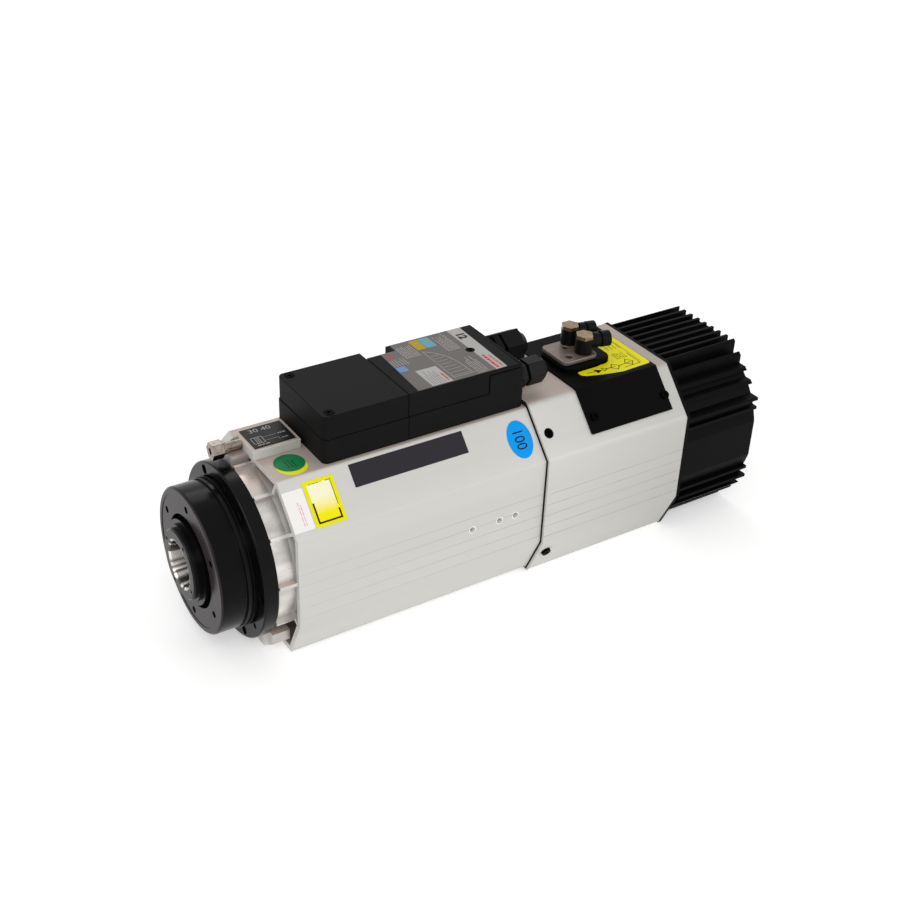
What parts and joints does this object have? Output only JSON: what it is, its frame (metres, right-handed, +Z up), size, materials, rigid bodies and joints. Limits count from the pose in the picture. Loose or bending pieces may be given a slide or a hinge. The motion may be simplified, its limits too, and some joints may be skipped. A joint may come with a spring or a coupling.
{
  "type": "motor spindle",
  "caption": "Eight-sided air-cooled motor spindle with a steep tool taper, junction box, cable glands, swivel air elbows and a finned fan cover.",
  "frame": {"origin": "centre of the nose face on the spindle axis", "axes": "+X along the spindle axis from the nose to the rear fan, +Z up towards the junction box, -Y the side seen in the picture"},
  "size_m": [0.4325, 0.1292, 0.1624],
  "materials": {
    "aluminium_body": "satin blasted, clear anodised",
    "fin_aluminium": "extruded, satin",
    "black_fins": "black, satin, over cast and extruded metal",
    "port_metal": "grey, satin",
    "black_steel": "black oxide, semi-gloss",
    "black_sheet": "black satin",
    "steel": "ground",
    "spring_steel": "tempered",
    "core_iron": "laminated, bare",
    "copper_resin": "varnished copper winding",
    "black_plastic": "fine grain",
    "grey_plastic": "plain",
    "rubber_black": "matte",
    "brass_nickel": "nickel-washed brass",
    "plate_black": "printed plate, bare",
    "screw_black": "black oxide"
  },
  "bodies": {
    "body": {"front_body": "aluminium_body", "rear_body": "aluminium_body", "front_housing": "aluminium_body", "rear_bearing_housing": "aluminium_body", "name_pad": "aluminium_body", "release_cylinder": "fin_aluminium", "cylinder_cap": "fin_aluminium", "rear_cover": "black_fins", "rear_plate": "black_fins", "port_plate": "port_metal", "front_flange": "black_steel", "front_cover": "black_steel", "air_cover": "black_sheet", "fan_guard": "black_sheet", "bearing_outer_rings": "steel", "return_springs": "spring_steel", "stator_core": "core_iron", "windings": "copper_resin", "box_base": "black_plastic", "box_front_lid": "black_plastic", "box_rear_lid": "black_plastic", "fan_frame": "black_plastic", "gland_body_near": "black_plastic", "gland_nut_near": "black_plastic", "gland_body_far": "black_plastic", "gland_nut_far": "black_plastic", "sensors": "black_plastic", "terminal_block": "grey_plastic", "seam_gasket": "rubber_black", "gland_seals": "rubber_black", "air_fitting_body": "brass_nickel", "air_fitting_nut": "brass_nickel", "banjo_bolts": "brass_nickel", "port_plug": "brass_nickel", "name_plate": "plate_black", "lid_screws": "screw_black", "air_cover_screws": "screw_black", "body_screws": "screw_black", "flange_screws": "screw_black", "cover_screws": "screw_black"},
    "rotor": {"shaft": "steel", "labyrinth_ring": "black_fins", "bearing_inner_rings": "steel", "rotor_core": "core_iron", "bearing_locknuts": "steel", "sensor_ring": "steel", "disc_springs": "spring_steel"},
    "front_balls": {"front_ball_set": "steel"},
    "rear_balls": {"rear_ball_set": "steel"},
    "drawbar": {"drawbar": "steel"},
    "petal_1": {"petal_1": "steel"},
    "petal_2": {"petal_2": "steel"},
    "petal_3": {"petal_3": "steel"},
    "petal_4": {"petal_4": "steel"},
    "piston": {"piston": "steel"},
    "fan": {"fan_rotor": "black_plastic"},
    "elbow_near": {"elbow_near": "black_plastic"},
    "elbow_far": {"elbow_far": "black_plastic"},
    "release_collar_near": {"release_collar_near": "black_plastic"},
    "release_collar_far": {"release_collar_far": "black_plastic"}
  },
  "joints": [
    {"name": "rotor_spin", "type": "hinge", "parent": "body", "child": "rotor", "pos_m": [0, 0, 0], "axis": [1, 0, 0], "continuous": true},
    {"name": "front_balls_spin", "type": "hinge", "parent": "body", "child": "front_balls", "pos_m": [0, 0, 0], "axis": [1, 0, 0], "continuous": true},
    {"name": "rear_balls_spin", "type": "hinge", "parent": "body", "child": "rear_balls", "pos_m": [0, 0, 0], "axis": [1, 0, 0], "continuous": true},
    {"name": "piston_slide", "type": "slide", "parent": "body", "child": "piston", "axis": [-1, 0, 0], "range_m": [0, 0.008], "stiffness_N_per_m": 20000, "deforming": ["return_springs"]},
    {"name": "drawbar_slide", "type": "slide", "parent": "rotor", "child": "drawbar", "axis": [-1, 0, 0], "range_m": [0, 0.007], "deforming": ["disc_springs"]},
    {"name": "petal_1_open", "type": "hinge", "parent": "drawbar", "child": "petal_1", "pos_m": [0.077, 0.0085, 0], "axis": [0, 0, -1], "range_deg": [0, 7]},
    {"name": "petal_2_open", "type": "hinge", "parent": "drawbar", "child": "petal_2", "pos_m": [0.077, 0, 0.0085], "axis": [0, 1, 0], "range_deg": [0, 7]},
    {"name": "petal_3_open", "type": "hinge", "parent": "drawbar", "child": "petal_3", "pos_m": [0.077, -0.0085, 0], "axis": [0, 0, 1], "range_deg": [0, 7]},
    {"name": "petal_4_open", "type": "hinge", "parent": "drawbar", "child": "petal_4", "pos_m": [0.077, 0, -0.0085], "axis": [0, -1, 0], "range_deg": [0, 7]},
    {"name": "fan_spin", "type": "hinge", "parent": "body", "child": "fan", "pos_m": [0.393, 0, 0], "axis": [1, 0, 0], "continuous": true},
    {"name": "elbow_near_swivel", "type": "hinge", "parent": "body", "child": "elbow_near", "pos_m": [0.31, -0.0059, 0.083], "axis": [0, 0, 1], "range_deg": [-90, 5]},
    {"name": "release_collar_near_press", "type": "slide", "parent": "elbow_near", "child": "release_collar_near", "axis": [-0.9744, 0.225, 0], "range_m": [0, 0.0012], "stiffness_N_per_m": 2000},
    {"name": "elbow_far_swivel", "type": "hinge", "parent": "body", "child": "elbow_far", "pos_m": [0.31, 0.0111, 0.083], "axis": [0, 0, 1], "range_deg": [-5, 90]},
    {"name": "release_collar_far_press", "type": "slide", "parent": "elbow_far", "child": "release_collar_far", "axis": [-0.9744, 0.225, 0], "range_m": [0, 0.0012], "stiffness_N_per_m": 2000}
  ],
  "couplings": [
    {"joint": "front_balls_spin", "follows": "rotor_spin", "ratio": 0.39},
    {"joint": "rear_balls_spin", "follows": "rotor_spin", "ratio": 0.395},
    {"joint": "drawbar_slide", "follows": "piston_slide", "ratio": 0.875},
    {"joint": "petal_1_open", "follows": "piston_slide", "rad_per_m": 15.272},
    {"joint": "petal_2_open", "follows": "piston_slide", "rad_per_m": 15.272},
    {"joint": "petal_3_open", "follows": "piston_slide", "rad_per_m": 15.272},
    {"joint": "petal_4_open", "follows": "piston_slide", "rad_per_m": 15.272}
  ]
}
